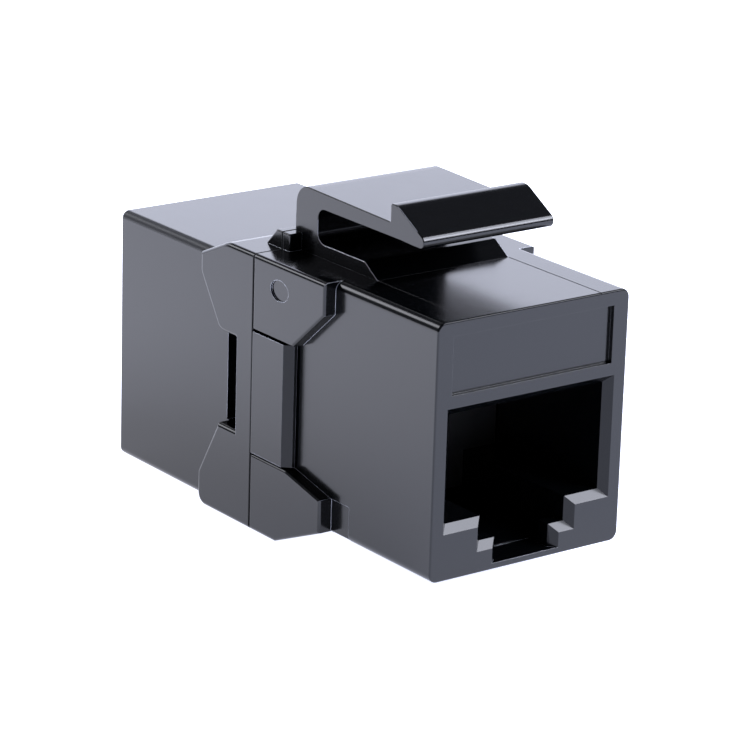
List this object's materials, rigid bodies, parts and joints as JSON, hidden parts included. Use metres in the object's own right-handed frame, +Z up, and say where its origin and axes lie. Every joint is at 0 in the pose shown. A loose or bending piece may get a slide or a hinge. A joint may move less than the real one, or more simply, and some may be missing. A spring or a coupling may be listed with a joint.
{
  "type": "keystone coupler",
  "caption": "In-line snap-in coupler with a plug socket at each end, a sprung latch on top and side lugs that stop against a wall plate.",
  "frame": {"origin": "middle of the base, at the bottom of the rear shell, half way along the module", "axes": "+Z up, -Y out of the front port, +Y out of the rear port, +X to the right seen from the front"},
  "size_m": [0.0164, 0.0344, 0.0235],
  "materials": {
    "shell_plastic": "glossy black moulded plastic",
    "carrier_plastic": "satin black moulded plastic",
    "board_laminate": "green solder mask",
    "contact_metal": "gold-plated spring strip"
  },
  "bodies": {
    "housing": {"front_shell": "shell_plastic", "rear_shell": "shell_plastic", "front_contact_carrier": "carrier_plastic", "rear_contact_carrier": "carrier_plastic", "circuit_board": "board_laminate", "front_contact_1": "contact_metal", "front_contact_2": "contact_metal", "front_contact_3": "contact_metal", "front_contact_4": "contact_metal", "front_contact_5": "contact_metal", "front_contact_6": "contact_metal", "front_contact_7": "contact_metal", "front_contact_8": "contact_metal", "rear_contact_1": "contact_metal", "rear_contact_2": "contact_metal", "rear_contact_3": "contact_metal", "rear_contact_4": "contact_metal", "rear_contact_5": "contact_metal", "rear_contact_6": "contact_metal", "rear_contact_7": "contact_metal", "rear_contact_8": "contact_metal"},
    "latch": {"latch_arm": "shell_plastic"}
  },
  "joints": [
    {"name": "latch_flex", "type": "hinge", "parent": "housing", "child": "latch", "pos_m": [0, -0.0007, 0.0213], "axis": [1, 0, 0], "range_deg": [0, 13], "stiffness_Nm_per_rad": 0.35}
  ]
}
